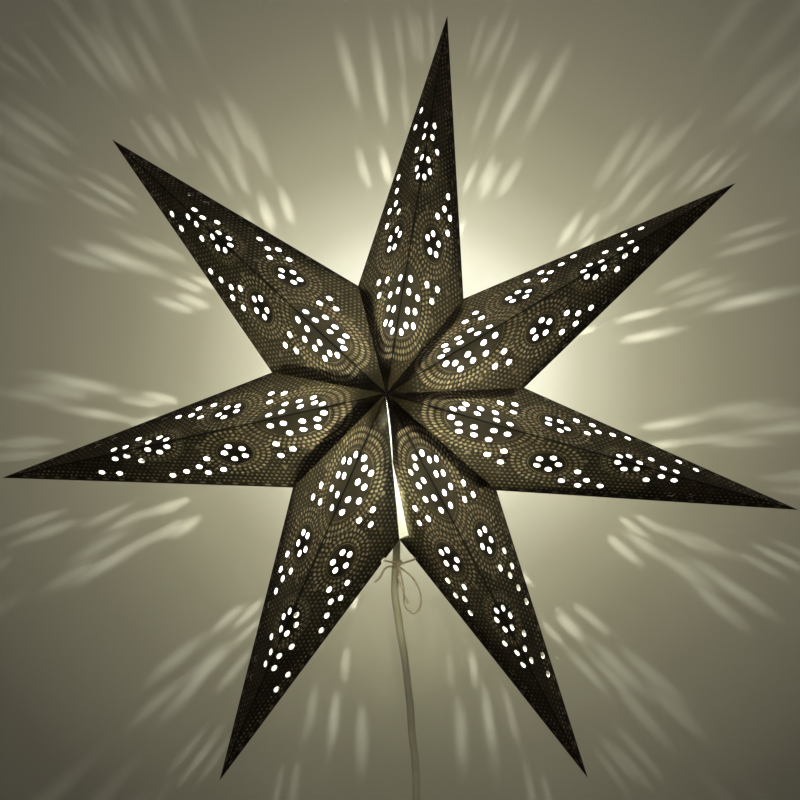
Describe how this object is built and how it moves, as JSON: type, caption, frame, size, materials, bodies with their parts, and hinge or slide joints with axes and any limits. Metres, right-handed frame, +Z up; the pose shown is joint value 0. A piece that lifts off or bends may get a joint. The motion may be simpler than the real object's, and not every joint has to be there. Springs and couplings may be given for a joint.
{
  "type": "paper star lamp",
  "caption": "Folded paper star wall lamp with pointed hollow arms, punched light holes, an inner lampholder with a bulb, a tying twine and a mains cord with a plug.",
  "frame": {"origin": "rear corner of the star, where its rear folds meet and it hangs against the wall", "axes": "+Z up along the wall, the star faces -Y, +X to the viewer's right"},
  "size_m": [0.5856, 0.1678, 0.7324],
  "materials": {
    "printed_paper": "dark brown dotted print outside, bare cream inside",
    "white_plastic": "off-white, satin",
    "nickel": "nickel-plated",
    "strap": "pale strap",
    "bulb_glass": "clear, lit",
    "twine": "tan twisted twine"
  },
  "bodies": {
    "root": {"star_point_1": "printed_paper", "star_point_2": "printed_paper", "star_point_3": "printed_paper", "star_point_4": "printed_paper", "star_point_5": "printed_paper", "star_point_6": "printed_paper", "star_point_7": "printed_paper", "lampholder_cap": "white_plastic", "lampholder_shell": "white_plastic", "cord_coil": "white_plastic", "mains_cord": "white_plastic", "cord_tail": "white_plastic", "plug_body": "white_plastic", "bulb_screw_cap": "nickel", "plug_pin_near": "nickel", "plug_pin_far": "nickel", "coil_strap": "strap", "bulb_glass": "bulb_glass", "tie_string": "twine", "tie_knot": "twine", "bow_loop": "twine", "twine_end_right": "twine", "twine_end_left": "twine"}
  },
  "joints": []
}
